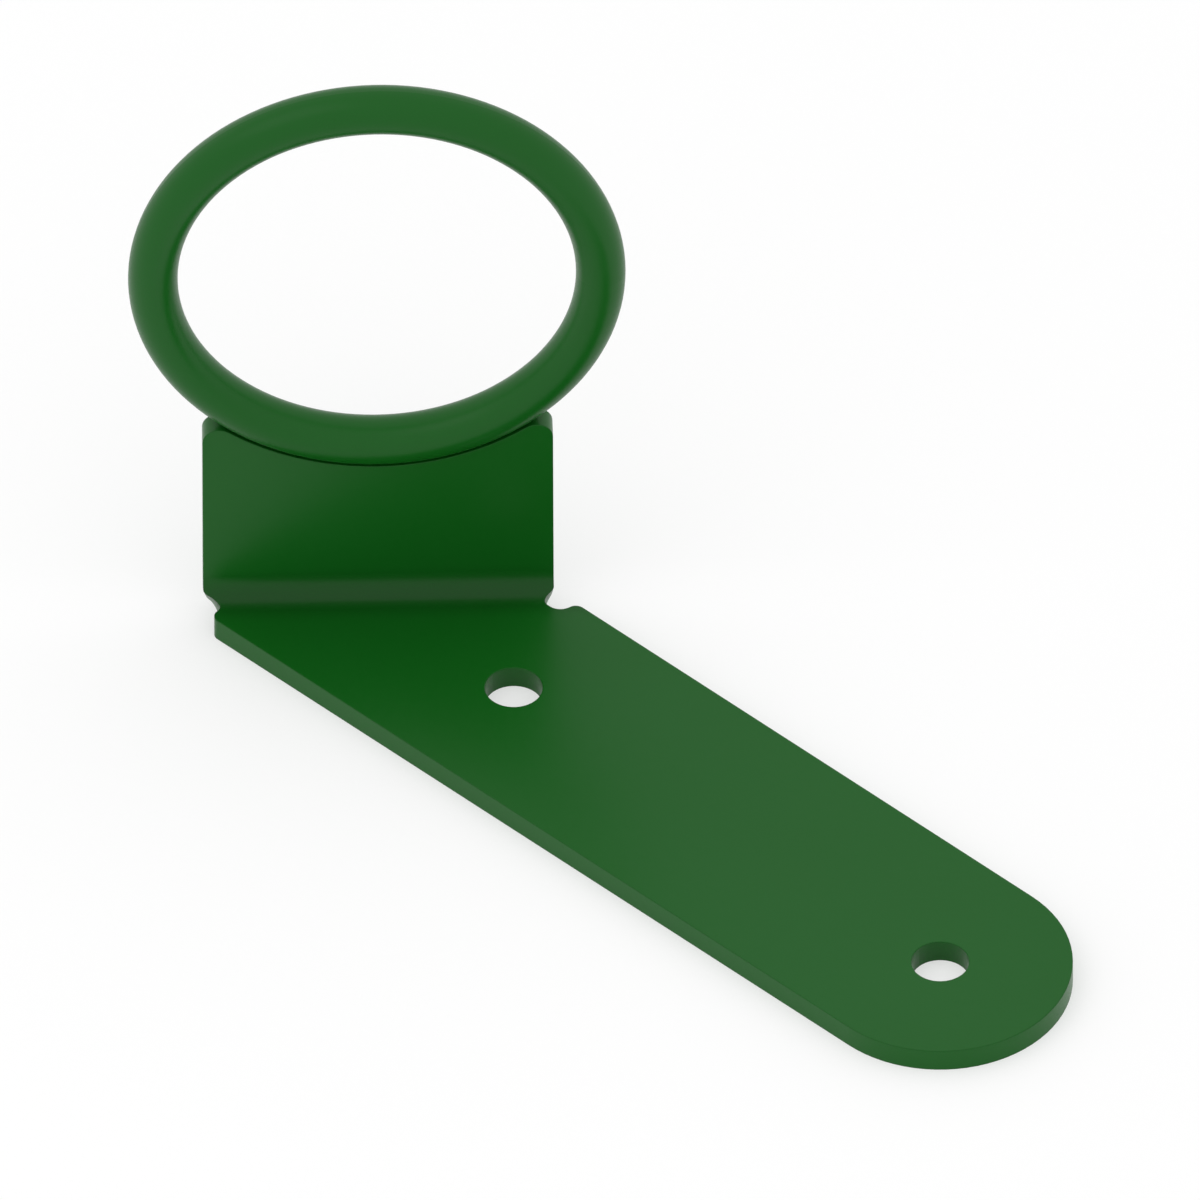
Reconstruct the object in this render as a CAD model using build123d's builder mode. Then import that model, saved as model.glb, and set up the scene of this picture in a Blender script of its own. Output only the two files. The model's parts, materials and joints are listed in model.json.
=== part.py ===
from build123d import *
from math import asin, cos, degrees, pi, radians, sin, sqrt, tan
import os

# Hose hanger: a folded steel strap with an upright tab that carries a welded round-bar ring.
# The strap lies flat on its underside along X. Its tab is folded up along a line set at 45
# degrees to the strap, so the ring faces diagonally across it. The origin is midway between
# the two bolt holes, on the underside. Millimetres, +Z up.

# Sheet: one piece of plate, cut flat, drilled and folded once
sheet_thickness = 4.7625        # 3/16 in plate
strap_width = 50.8              # 2 in
hole_spacing = 112.7            # between the centres of the two bolt holes
hole_diameter = 11.1125         # 7/16 in clearance hole for a 3/8 in or M10 bolt

# Fold: its start is measured square to the fold line, from the first hole's centre
fold_angle = 45                 # between the fold line and the strap's length, in degrees
fold_distance = 22.85
bend_radius = 4.7625            # inside the fold
neutral_share = 0.43            # depth of the unstretched layer, as a share of the thickness

# Tab: its left side starts where the fold meets the strap's edge
tab_setback = 4.75              # how far its right side stops short of the strap's other edge
horn_radius = 3.175             # round top of each horn beside the cradle

# Relief notches at the two ends of the fold, drawn on the flat blank
relief_radius = 3.0
relief_depth = 2.02             # from the fold's start to the notch centres
left_relief_inset = 0.12        # notch centre inside the tab's left side
right_relief_offset = 1.22      # notch centre outside the tab's right side
relief_fillet = 1.93            # blends each notch into the strap's edge and the tab's side

# Ring of round bar
bar_diameter = 9.525            # 3/8 in
ring_bore = 76.2                # 3 in clear through the ring
ring_height = 85.15             # the ring's centre above the underside
seat_clearance = 0.1            # between the ring and its cradle

# Weld bead behind the ring
weld_radius = 4.0
weld_height = 1.6               # how far it stands out behind the tab
weld_bite = 4.0                 # how far its round section overlaps the bar's
weld_inset = 5.5                # from the ends of its path to the tab's sides

# Building values
curve_steps = 8                 # spans along each notch arc when it is carried round the fold
same_place = 0.001              # how close two places are when they count as one

# Sizes that follow
end_radius = strap_width / 2
fold_turn = radians(fold_angle)
neutral_radius = bend_radius + neutral_share * sheet_thickness
outer_radius = bend_radius + sheet_thickness
fold_length = neutral_radius * pi / 2
inner_reach = bend_radius / 2   # nearer the fold's axis than any of the folded sheet
outer_reach = 3 * outer_radius / 2        # and further from it
far = 4 * (hole_spacing + strap_width + fold_distance)    # clears the whole blank
half_crossing = end_radius / sin(fold_turn)
strap_middle_at_fold = -fold_distance / tan(fold_turn)
tab_left = strap_middle_at_fold - half_crossing
tab_right = strap_middle_at_fold + half_crossing - tab_setback
tab_width = tab_right - tab_left
tab_middle = (tab_left + tab_right) / 2
tab_depth = fold_distance + bend_radius + sheet_thickness / 2
tab_foot = sheet_thickness + bend_radius
relief_centres = [
    Vector(tab_left + left_relief_inset, fold_distance + relief_depth),
    Vector(tab_right + right_relief_offset, fold_distance + relief_depth),
]
bar_radius = bar_diameter / 2
ring_radius = ring_bore / 2 + bar_radius
cradle_radius = ring_radius + bar_radius + seat_clearance

# The flat blank's frame: X along the fold line, Y from the first hole towards the tab
blank_frame = Plane(
    origin=(-hole_spacing / 2, 0, 0),
    x_dir=(cos(fold_turn), sin(fold_turn), 0),
    z_dir=(0, 0, 1),
)

# The fold's cross-section: centred on its axis, X away from the middle of the bend
fold_section = Plane(
    origin=blank_frame.from_local_coords((0, fold_distance, tab_foot)),
    x_dir=blank_frame.z_dir - blank_frame.y_dir,
    z_dir=blank_frame.x_dir,
)


def upright(depth):
    """Vertical plane along the fold line, this far from the first hole, facing the strap."""
    return Plane(
        origin=blank_frame.from_local_coords((0, depth, 0)),
        x_dir=blank_frame.x_dir,
        z_dir=-blank_frame.y_dir,
    )


def halfway_round(reach):
    """Plane square to the fold's half-way direction, this far from the fold's axis."""
    return Plane(
        origin=fold_section.origin - fold_section.x_dir * reach,
        x_dir=fold_section.z_dir,
        z_dir=fold_section.x_dir,
    )


def carried_round(place, reach):
    """Where a place on the flat blank falls on halfway_round(reach), seen from the fold's axis."""
    turn = (place.Y - fold_distance) / neutral_radius
    return (place.X, reach * tan(turn - pi / 4))


# Flat blank of the strap and the fold's share, seen with X along the fold line
with BuildSketch(Plane.XY) as blank:
    with Locations(Location((0, 0), -fold_angle)):
        with Locations((hole_spacing, 0)):
            Circle(end_radius)
            Rectangle(far / 2, strap_width, align=(Align.MAX, Align.CENTER))
    with Locations((0, fold_distance + relief_depth)):
        Rectangle(far, far, align=(Align.CENTER, Align.MIN), mode=Mode.SUBTRACT)
    with Locations((tab_left, fold_distance)):
        Rectangle(tab_width, fold_length, align=(Align.MIN, Align.MIN))
    for centre in relief_centres:
        with Locations(centre):
            Circle(relief_radius, mode=Mode.SUBTRACT)
        corners = blank.vertices().filter_by(
            lambda corner: abs((corner.center() - centre).length - relief_radius) < same_place
        )
        fillet(corners, relief_fillet)

# Its straight part, up to where the fold starts
with BuildSketch(blank_frame) as strap_outline:
    add(blank.sketch)
    with Locations((0, fold_distance)):
        Rectangle(far, far, align=(Align.CENTER, Align.MIN), mode=Mode.SUBTRACT)

# Its folded part
with BuildSketch(Plane.XY) as fold_outline:
    add(blank.sketch)
    with Locations((0, fold_distance)):
        Rectangle(far, fold_length, align=(Align.CENTER, Align.MIN), mode=Mode.INTERSECT)

# Fold: a quarter turn of the sheet, with the notches carried round it square to the sheet
with BuildPart() as fold:
    outline_edges = fold_outline.faces().sort_by(SortBy.AREA)[-1].outer_wire().edges()
    for reach in (inner_reach, outer_reach):
        with BuildSketch(halfway_round(reach)):
            with BuildLine():
                for edge in outline_edges:
                    stops = [edge @ (step / curve_steps) for step in range(curve_steps + 1)]
                    places = [carried_round(stop, reach) for stop in stops]
                    if edge.geom_type == GeomType.LINE:
                        Line(places[0], places[-1])
                    else:
                        Spline(*places)
            make_face()
    loft(ruled=True)
    with BuildSketch(fold_section):
        Circle(outer_radius)
        Circle(bend_radius, mode=Mode.SUBTRACT)
    extrude(amount=far, both=True, mode=Mode.INTERSECT)

# Plate: strap, fold and tab in one, with the tab's top edge cut to cradle the ring
with BuildPart() as bracket_plate:
    add(strap_outline.sketch)
    extrude(amount=sheet_thickness)
    with GridLocations(hole_spacing, hole_spacing, 2, 1):
        Hole(hole_diameter / 2)
    add(fold.part)
    with BuildSketch(upright(tab_depth)) as tab_outline:
        with Locations((tab_left, tab_foot)):
            Rectangle(tab_width, ring_height - tab_foot, align=(Align.MIN, Align.MIN))
        with Locations((tab_middle, ring_height)):
            Circle(cradle_radius, mode=Mode.SUBTRACT)
        fillet(tab_outline.vertices().group_by(Axis.Y)[-1], horn_radius)
    extrude(amount=sheet_thickness / 2, both=True)
bracket_plate.part.label = "bracket_plate"

# Ring: round bar bent to a full circle, in line with the tab
ring_plane = upright(tab_depth)
ring_plane.origin = ring_plane.from_local_coords((tab_middle, ring_height, 0))
with BuildPart(ring_plane) as hose_ring:
    Torus(ring_radius, bar_radius)
hose_ring.part.label = "hose_ring"

# Weld: one bead across the back of the cradle, flat on the tab and fused to the bar
lowest_point = 270              # the ring's lowest point, as an angle round its centre
bead_depth = sheet_thickness / 2 + weld_height - weld_radius
bead_from_bar = bar_radius + weld_radius - weld_bite
bead_path_radius = ring_radius + sqrt(bead_from_bar ** 2 - bead_depth ** 2)
bead_half_angle = degrees(asin((tab_width / 2 - weld_inset) / bead_path_radius))
weld_plane = Plane(
    origin=ring_plane.origin - ring_plane.z_dir * bead_depth,
    x_dir=ring_plane.x_dir,
    z_dir=ring_plane.z_dir,
)
with BuildPart() as ring_weld:
    with BuildLine(weld_plane) as bead_path:
        CenterArc((0, 0), bead_path_radius, lowest_point - bead_half_angle, 2 * bead_half_angle)
    with BuildSketch(Plane(origin=bead_path.line @ 0, z_dir=bead_path.line % 0)):
        Circle(weld_radius)
    sweep()
    split(bisect_by=upright(tab_depth + sheet_thickness / 2), keep=Keep.BOTTOM)
    add(hose_ring.part, mode=Mode.SUBTRACT)
ring_weld.part.label = "ring_weld"

os.makedirs("parts", exist_ok=True)
export_step(bracket_plate.part, "parts/bracket_plate.step")
export_step(hose_ring.part, "parts/hose_ring.step")
export_step(ring_weld.part, "parts/ring_weld.step")
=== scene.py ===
"""Dresses the hose hanger: a folded steel strap whose tab carries a welded round-bar ring.

The strap and the ring keep their own meshes and get a green powder coat. The weld behind the
ring is built again with the ripples that a real bead has. Everything is in metres, in the
frame of the part: +X along the strap, +Z up, the origin midway between the bolt holes.
"""

import json
import logging
import math
from dataclasses import dataclass, field
from enum import Enum

import bmesh
import bpy
from mathutils import Matrix, Vector

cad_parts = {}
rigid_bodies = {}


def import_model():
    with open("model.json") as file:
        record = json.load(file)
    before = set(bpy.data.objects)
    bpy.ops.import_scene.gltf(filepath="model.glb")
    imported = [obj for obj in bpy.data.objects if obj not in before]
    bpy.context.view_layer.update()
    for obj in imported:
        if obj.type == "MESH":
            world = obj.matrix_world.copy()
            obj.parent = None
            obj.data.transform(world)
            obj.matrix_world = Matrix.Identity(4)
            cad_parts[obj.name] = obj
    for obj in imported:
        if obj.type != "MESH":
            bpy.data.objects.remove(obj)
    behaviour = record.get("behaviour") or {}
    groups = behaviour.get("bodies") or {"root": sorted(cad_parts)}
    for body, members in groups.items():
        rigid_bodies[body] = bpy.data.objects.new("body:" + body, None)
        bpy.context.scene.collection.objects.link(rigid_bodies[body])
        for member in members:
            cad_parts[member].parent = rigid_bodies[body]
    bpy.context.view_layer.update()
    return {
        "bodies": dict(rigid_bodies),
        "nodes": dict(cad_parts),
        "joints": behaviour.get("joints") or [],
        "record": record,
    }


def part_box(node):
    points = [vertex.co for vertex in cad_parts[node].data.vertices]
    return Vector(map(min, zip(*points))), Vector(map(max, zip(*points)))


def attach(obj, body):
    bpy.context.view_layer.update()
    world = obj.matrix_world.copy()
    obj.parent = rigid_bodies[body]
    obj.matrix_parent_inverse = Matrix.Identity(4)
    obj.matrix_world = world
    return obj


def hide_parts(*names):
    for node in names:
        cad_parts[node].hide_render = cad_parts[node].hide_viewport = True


log = logging.getLogger("hose_hanger")
MEAN_OF_RIPPLE = 2 / math.pi
MM = 0.001
SHEET_THICKNESS = 4.7625 * MM
WHITE = (1.0, 1.0, 1.0, 1.0)
UP = Vector((0, 0, 1))
FOLD_LINE = Vector((1, 1, 0)).normalized()
TAB_BACKWARD = Vector((-1, 1, 0)).normalized()


def linear(hex_colour: str) -> tuple[float, float, float, float]:
    """Turns an sRGB hex colour to linear light.

    Args:
        hex_colour: six hex digits with a leading hash.

    Returns:
        Linear red, green and blue, with an alpha of 1.
    """
    parts = [int(hex_colour[i:i + 2], 16) / 255 for i in (1, 3, 5)]
    red, green, blue = (
        part / 12.92 if part <= 0.04045 else ((part + 0.055) / 1.055) ** 2.4 for part in parts
    )
    return (red, green, blue, 1.0)


def add_node(tree: bpy.types.NodeTree, kind: str, **settings: object) -> bpy.types.Node:
    """Adds one node, sets it and links it.

    Args:
        tree: the node tree that the node goes into.
        kind: Blender's name for the node's type.
        **settings: properties by name, and under "inputs" a dict from a socket's name or
            number to either a value or an output socket that feeds it.

    Returns:
        The new node.
    """
    node = tree.nodes.new(kind)
    inputs = settings.pop("inputs", {})
    for name, value in settings.items():
        setattr(node, name, value)
    for name, value in inputs.items():
        if isinstance(value, bpy.types.NodeSocket):
            tree.links.new(value, node.inputs[name])
        else:
            node.inputs[name].default_value = value
    return node


class Surface(Enum):
    """What the coat lies on. Only the rolled plate has sharp edges to soften and a fold."""

    ROLLED = "rolled plate"
    DRAWN = "drawn round bar"
    WELDED = "weld bead"


# Where the coat's painted shade lies: darkest on this line, in the fold's crease
@dataclass(frozen=True)
class InsideFold:
    """The hollow side of the fold, along a line low in its curve.

    The ring stands in line with the tab, so the fold's axis follows from the ring's centre.
    """

    ring_centre: Vector
    bend_radius: float = 4.7625 * MM
    turn_from_strap: float = math.radians(36.0)
    fade_reach: float = 6.5 * MM

    def on_line(self) -> Vector:
        """Works out where the line runs.

        Returns:
            One place on the line, in the frame of the part.
        """
        axis = self.ring_centre - TAB_BACKWARD * (self.bend_radius + SHEET_THICKNESS / 2)
        axis.z = SHEET_THICKNESS + self.bend_radius
        turn = self.turn_from_strap
        return axis + (TAB_BACKWARD * math.sin(turn) - UP * math.cos(turn)) * self.bend_radius

    def nearness(self, tree: bpy.types.NodeTree, place: bpy.types.NodeSocket) -> bpy.types.NodeSocket:
        """Tells how near a place on the plate is to the line.

        Args:
            tree: the material's node tree.
            place: the place in the frame of the part.

        Returns:
            A socket that is 1 on the line and falls softly to 0 at the fade's reach.
        """
        from_line = add_node(
            tree,
            "ShaderNodeVectorMath",
            operation="SUBTRACT",
            inputs={0: place, 1: self.on_line()},
        )
        across = add_node(
            tree,
            "ShaderNodeVectorMath",
            operation="CROSS_PRODUCT",
            inputs={0: from_line.outputs["Vector"], 1: FOLD_LINE},
        )
        distance = add_node(
            tree,
            "ShaderNodeVectorMath",
            operation="LENGTH",
            inputs={0: across.outputs["Vector"]},
        )
        faded = add_node(
            tree,
            "ShaderNodeMapRange",
            interpolation_type="SMOOTHSTEP",
            inputs={
                "Value": distance.outputs["Value"],
                "From Min": 0.0,
                "From Max": self.fade_reach,
                "To Min": 1.0,
                "To Max": 0.0,
            },
        )
        return faded.outputs["Result"]


@dataclass(frozen=True)
class PowderCoat:
    """Green polyester powder coat, sprayed and baked over steel.

    The eye sees a deep, even green under a semi-gloss skin. The skin has a faint orange peel,
    which breaks up a reflection without showing as a texture of its own. Along the hollow side
    of the fold the green is painted darker, as painted shade in the fold's crease.
    The powder's own grain is finer than a tenth of a millimetre and is drawn coarser, so that
    it shows in the gloss.
    """

    # painted shade: the place along the fold's hollow where the green is darkened
    fold_shade_place: InsideFold
    name: str = "powder_coat_green"
    colour: str = "#09560F"
    thin_colour: str = "#0E5916"
    # painted shade: the darker green laid into the fold's crease
    fold_shade_colour: str = "#08470D"
    peel_wave: float = 2.6 * MM
    peel_height: float = 0.018 * MM
    grain_wave: float = 0.5 * MM
    cloud_wave: float = 38 * MM
    edge_radius: float = 0.35 * MM
    edge_samples: int = 6
    noise_low: float = 0.3
    noise_high: float = 0.7
    roughness: float = 0.33
    roughness_spread: float = 0.05
    ior: float = 1.5
    gloss_level: float = 0.222

    def material(self, surface: Surface) -> bpy.types.Material:
        """Makes the coat's material.

        Args:
            surface: what the coat lies on.

        Returns:
            The material, named for the coat and what is under it.
        """
        made = bpy.data.materials.new(f"{self.name}_{surface.name.lower()}")
        made.use_nodes = True
        tree = made.node_tree
        tree.nodes.clear()
        place = add_node(tree, "ShaderNodeTexCoord").outputs["Object"]
        patterns = {
            "clouds": (self.cloud_wave, 3.0),
            "peel": (self.peel_wave, 1.0),
            "grain": (self.grain_wave, 2.0),
        }
        noise = {
            pattern: add_node(
                tree,
                "ShaderNodeTexNoise",
                inputs={"Vector": place, "Scale": 1 / wave, "Detail": detail},
            ).outputs["Fac"]
            for pattern, (wave, detail) in patterns.items()
        }
        tint = add_node(
            tree,
            "ShaderNodeMix",
            data_type="RGBA",
            inputs={
                "Factor": noise["clouds"],
                "A": linear(self.colour),
                "B": linear(self.thin_colour),
            },
        )
        gloss = add_node(
            tree,
            "ShaderNodeMapRange",
            inputs={
                "Value": noise["grain"],
                "From Min": self.noise_low,
                "From Max": self.noise_high,
                "To Min": self.roughness - self.roughness_spread,
                "To Max": self.roughness + self.roughness_spread,
            },
        )
        bump = add_node(
            tree,
            "ShaderNodeBump",
            inputs={
                "Strength": 1.0,
                "Distance": self.peel_height,
                "Height": noise["peel"],
            },
        )
        if surface is Surface.ROLLED:
            softened = add_node(
                tree,
                "ShaderNodeBevel",
                samples=self.edge_samples,
                inputs={"Radius": self.edge_radius},
            )
            tree.links.new(softened.outputs["Normal"], bump.inputs["Normal"])
            # Painted shade: the green darkens towards the hollow of the fold
            tint = add_node(
                tree,
                "ShaderNodeMix",
                data_type="RGBA",
                inputs={
                    "Factor": self.fold_shade_place.nearness(tree, place),
                    "A": tint.outputs["Result"],
                    "B": linear(self.fold_shade_colour),
                },
            )
        paint = add_node(
            tree,
            "ShaderNodeBsdfPrincipled",
            inputs={
                "Base Color": tint.outputs["Result"],
                "Roughness": gloss.outputs["Result"],
                "IOR": self.ior,
                "Specular IOR Level": self.gloss_level,
                "Metallic": 0.0,
                "Normal": bump.outputs["Normal"],
            },
        )
        add_node(
            tree,
            "ShaderNodeOutputMaterial",
            inputs={"Surface": paint.outputs["BSDF"]},
        )
        return made


@dataclass
class CoatedSteel:
    """The two steel pieces that keep their own meshes: the folded plate and the ring."""

    frame: dict
    coat: PowderCoat
    surfaces: dict[str, Surface] = field(
        default_factory=lambda: {
            "bracket_plate": Surface.ROLLED,
            "hose_ring": Surface.DRAWN,
        }
    )

    def dress(self) -> None:
        """Puts the coat into each piece's material slots."""
        for node, surface in self.surfaces.items():
            piece = self.frame["nodes"][node]
            material = self.coat.material(surface)
            if not piece.material_slots:
                piece.data.materials.append(material)
            for holder in piece.material_slots:
                holder.material = material
            log.info("coated %s (%s)", node, surface.value)


@dataclass
class WeldBead:
    """The bead that joins the ring to the tab, along the back of the cradle.

    It wets the tab's back and the bar with a low, round back, along the ring's outer edge. Each
    puddle that froze leaves a crescent ripple, and the bead swells where it starts and sinks
    into a crater where it stops.
    """

    ring_centre: Vector
    path_radius: float
    back_radius: float = 4.0 * MM
    height: float = 1.6 * MM
    root_depth: float = 0.5 * MM
    half_angle: float = math.radians(36.0)
    ripple_pitch: float = 1.5 * MM
    ripple_height: float = 0.2 * MM
    ripple_lag: float = 1.7 * MM
    scallop: float = 0.1 * MM
    unevenness: float = 0.02
    slow_wave: float = 3.1 * MM
    quick_wave: float = 1.3 * MM
    quick_share: float = 0.6
    start_swell: float = 0.1
    crater_depth: float = 0.35
    crater_reach: float = 2.4 * MM
    least_rounding: float = 0.02
    steps: int = 420
    sides: int = 32

    def build(self, coat: PowderCoat) -> bpy.types.Object:
        """Makes the bead's mesh and dresses it.

        Args:
            coat: the powder coat over the bead.

        Returns:
            The finished bead, riding on the root body.
        """
        mesh = bpy.data.meshes.new("weld_bead")
        shape = bmesh.new()

        # The skin between the rows, smooth over the bead's back and flat round its buried root
        rows = [self.section(shape, step / self.steps) for step in range(self.steps + 1)]
        for near, far in zip(rows, rows[1:]):
            for side in range(len(near)):
                after = (side + 1) % len(near)
                face = shape.faces.new((near[side], near[after], far[after], far[side]))
                face.smooth = side < self.sides
        shape.faces.new(list(reversed(rows[0])))
        shape.faces.new(rows[-1])
        bmesh.ops.recalc_face_normals(shape, faces=shape.faces)
        shape.to_mesh(mesh)
        shape.free()
        bead = bpy.data.objects.new("weld_bead", mesh)
        bpy.context.scene.collection.objects.link(bead)
        mesh.materials.append(coat.material(Surface.WELDED))
        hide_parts("ring_weld")
        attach(bead, "root")
        log.info("laid the weld bead, %d rows of %d points", len(rows), len(rows[0]))
        return bead

    def size_at(self, from_start: float) -> float:
        """Tells how large the bead is at a place along it, since no hand lays it evenly.

        Args:
            from_start: the distance along the bead from its start.

        Returns:
            Its width and height there, as a share of their mean.
        """
        slow = math.sin(from_start / self.slow_wave)
        quick = math.sin(from_start / self.quick_wave)
        return 1 + self.unevenness * (slow + self.quick_share * quick)

    def section(self, shape: bmesh.types.BMesh, share: float) -> list[bmesh.types.BMVert]:
        """Adds the row of points across the bead at one place along it.

        Args:
            shape: the mesh that is being made.
            share: how far along the bead, from 0 to 1.

        Returns:
            The row's points: over the bead's back from the bar to the tab, then its two roots.
        """
        # Where the row stands
        angle = (2 * share - 1) * self.half_angle - math.pi / 2
        outward = FOLD_LINE * math.cos(angle) + UP * math.sin(angle)
        tab_back = self.ring_centre + TAB_BACKWARD * SHEET_THICKNESS / 2
        foot = tab_back + outward * self.path_radius
        length = 2 * self.half_angle * self.path_radius
        from_start = share * length
        to_stop = length - from_start

        # The arc of a plain row
        buried = self.back_radius - self.height
        reach = math.acos(buried / self.back_radius)
        half_width = self.back_radius * math.sin(reach)

        # What this row's place along the bead does to it
        end_share = min(from_start / half_width, to_stop / half_width, 1.0)
        rounding = max(self.least_rounding, math.sqrt(1 - (1 - end_share) ** 2))
        size = self.size_at(from_start)
        swell = self.start_swell * math.exp(-((from_start / self.crater_reach) ** 2))
        crater = self.crater_depth * math.exp(-((to_stop / self.crater_reach - 1) ** 2))

        points = []
        for side in range(self.sides + 1):
            across = 2 * side / self.sides - 1
            crown = math.cos(across * math.pi / 2)
            crest = from_start - self.ripple_lag * across**2
            ripple = abs(math.sin(math.pi * crest / self.ripple_pitch)) - MEAN_OF_RIPPLE
            width = self.back_radius * math.sin(across * reach) * size
            width += self.scallop * ripple * across
            rise = self.back_radius * math.cos(across * reach) - buried
            rise *= size + swell - crater * crown
            rise += self.ripple_height * ripple * crown
            points.append(foot + outward * (width * rounding) + TAB_BACKWARD * (rise * rounding))
        for across in (1, -1):
            sunk = outward * (across * half_width * rounding) - TAB_BACKWARD * self.root_depth
            points.append(foot + sunk)
        return [shape.verts.new(point) for point in points]


@dataclass
class Studio:
    """A plain white floor under an even white sky, with one broad, weak softbox."""

    floor_half_width: float = 3.0
    floor_drop: float = 0.02 * MM
    floor_bounce: str = "#F1F1F1"
    floor_glow: float = 0.5
    sky_strength: float = 0.96
    softbox_power: float = 1.2
    softbox_width: float = 0.9
    softbox_place: Vector = field(default_factory=lambda: Vector((-0.35, -0.75, 1.1)))
    softbox_aim: Vector = field(default_factory=lambda: Vector((0, 0, 0.03)))

    def build(self) -> None:
        """Makes the floor, the sky and the softbox."""
        self.floor()
        self.sky()
        self.softbox()
        log.info("lit the studio")

    def seen_plainly(self, tree: bpy.types.NodeTree) -> bpy.types.NodeSocket:
        """Tells the rays that show the studio itself from those that only carry its light.

        Args:
            tree: the node tree of the floor or the sky.

        Returns:
            A socket that is 1 for a camera, glossy or transmission ray, and otherwise 0.
        """
        ray = add_node(tree, "ShaderNodeLightPath")
        direct = add_node(
            tree,
            "ShaderNodeMath",
            operation="MAXIMUM",
            inputs={0: ray.outputs["Is Camera Ray"], 1: ray.outputs["Is Glossy Ray"]},
        )
        shown = add_node(
            tree,
            "ShaderNodeMath",
            operation="MAXIMUM",
            inputs={0: direct.outputs[0], 1: ray.outputs["Is Transmission Ray"]},
        )
        return shown.outputs[0]

    def floor(self) -> None:
        """Lays the floor, just under the object."""
        mesh = bpy.data.meshes.new("floor")
        shape = bmesh.new()
        half = self.floor_half_width
        corners = [(-half, -half, 0), (half, -half, 0), (half, half, 0), (-half, half, 0)]
        shape.faces.new([shape.verts.new(corner) for corner in corners])
        shape.to_mesh(mesh)
        shape.free()
        mesh.materials.append(self.floor_white())
        slab = bpy.data.objects.new("floor", mesh)
        slab.location.z = -self.floor_drop
        bpy.context.scene.collection.objects.link(slab)

    def floor_white(self) -> bpy.types.Material:
        """Makes the floor's matt white, which keeps the object's soft shade.

        The camera and reflections see it pure white, and other light meets a slightly darker
        one. A share of that pure white is the floor's own glow, so that the shade in the bolt
        holes stays pale. Nothing but the camera and reflections sees the glow.

        Returns:
            The floor's material.
        """
        made = bpy.data.materials.new("studio_floor_matt_white")
        made.use_nodes = True
        made.cycles.emission_sampling = "NONE"
        tree = made.node_tree
        tree.nodes.clear()
        seen = self.seen_plainly(tree)
        colour = add_node(
            tree,
            "ShaderNodeMix",
            data_type="RGBA",
            inputs={"Factor": seen, "A": linear(self.floor_bounce), "B": WHITE},
        )
        matt = add_node(
            tree,
            "ShaderNodeBsdfDiffuse",
            inputs={"Color": colour.outputs["Result"]},
        )
        glow = add_node(tree, "ShaderNodeEmission", inputs={"Color": WHITE, "Strength": 1.0})
        glow_share = add_node(
            tree,
            "ShaderNodeMath",
            operation="MULTIPLY",
            inputs={0: seen, 1: self.floor_glow},
        )
        white = add_node(
            tree,
            "ShaderNodeMixShader",
            inputs={0: glow_share.outputs[0], 1: matt.outputs["BSDF"], 2: glow.outputs["Emission"]},
        )
        add_node(tree, "ShaderNodeOutputMaterial", inputs={"Surface": white.outputs["Shader"]})
        return made

    def sky(self) -> None:
        """Makes the even white sky, which is plain white to the camera and to reflections."""
        world = bpy.data.worlds.new("white_sky")
        bpy.context.scene.world = world
        world.use_nodes = True
        tree = world.node_tree
        tree.nodes.clear()
        strength = add_node(
            tree,
            "ShaderNodeMapRange",
            inputs={
                "Value": self.seen_plainly(tree),
                "To Min": self.sky_strength,
                "To Max": 1.0,
            },
        )
        sky = add_node(
            tree,
            "ShaderNodeBackground",
            inputs={"Color": WHITE, "Strength": strength.outputs["Result"]},
        )
        add_node(tree, "ShaderNodeOutputWorld", inputs={"Surface": sky.outputs["Background"]})

    def softbox(self) -> None:
        """Hangs one broad softbox above and to the left of the camera."""
        lamp = bpy.data.lights.new("softbox", "AREA")
        lamp.shape = "SQUARE"
        lamp.size = self.softbox_width
        lamp.energy = self.softbox_power
        holder = bpy.data.objects.new("softbox", lamp)
        holder.location = self.softbox_place
        beam = self.softbox_aim - self.softbox_place
        holder.rotation_mode = "QUATERNION"
        holder.rotation_quaternion = beam.to_track_quat("-Z", "Y")
        bpy.context.scene.collection.objects.link(holder)


@dataclass
class StudioCamera:
    """A parallel view, fitted to the photograph's outline of the object."""

    azimuth: float = math.radians(43.7974)
    elevation: float = math.radians(42.6181)
    roll: float = math.radians(-0.2553)
    looked_at: Vector = field(default_factory=lambda: Vector((-53.828, 21.317, 14.825)) * MM)
    view_width: float = 229.58 * MM
    distance: float = 1.2
    nearest: float = 0.05
    farthest: float = 10.0

    def build(self) -> None:
        """Makes the camera and gives it to the scene."""
        lens = bpy.data.cameras.new("camera")
        lens.type = "ORTHO"
        lens.ortho_scale = self.view_width
        lens.clip_start = self.nearest
        lens.clip_end = self.farthest
        camera = bpy.data.objects.new("camera", lens)
        bpy.context.scene.collection.objects.link(camera)
        turn = (
            Matrix.Rotation(self.azimuth, 3, "Z")
            @ Matrix.Rotation(math.pi / 2 - self.elevation, 3, "X")
            @ Matrix.Rotation(self.roll, 3, "Z")
        )
        place = self.looked_at + turn @ UP * self.distance
        camera.matrix_world = Matrix.LocRotScale(place, turn, None)
        bpy.context.scene.camera = camera
        log.info("set the camera")


def main() -> None:
    """Builds the object and its studio in order."""
    logging.basicConfig(level=logging.INFO, format="%(message)s")
    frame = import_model()
    bpy.context.scene.view_settings.view_transform = "Standard"
    ring_low, ring_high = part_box("hose_ring")
    ring_centre = (ring_low + ring_high) / 2
    # The coat's painted shade follows the hollow of the fold
    coat = PowderCoat(InsideFold(ring_centre))
    CoatedSteel(frame, coat).dress()
    WeldBead(ring_centre, path_radius=(ring_high.z - ring_low.z) / 2).build(coat)
    Studio().build()
    StudioCamera().build()


if __name__ == "__main__":
    main()
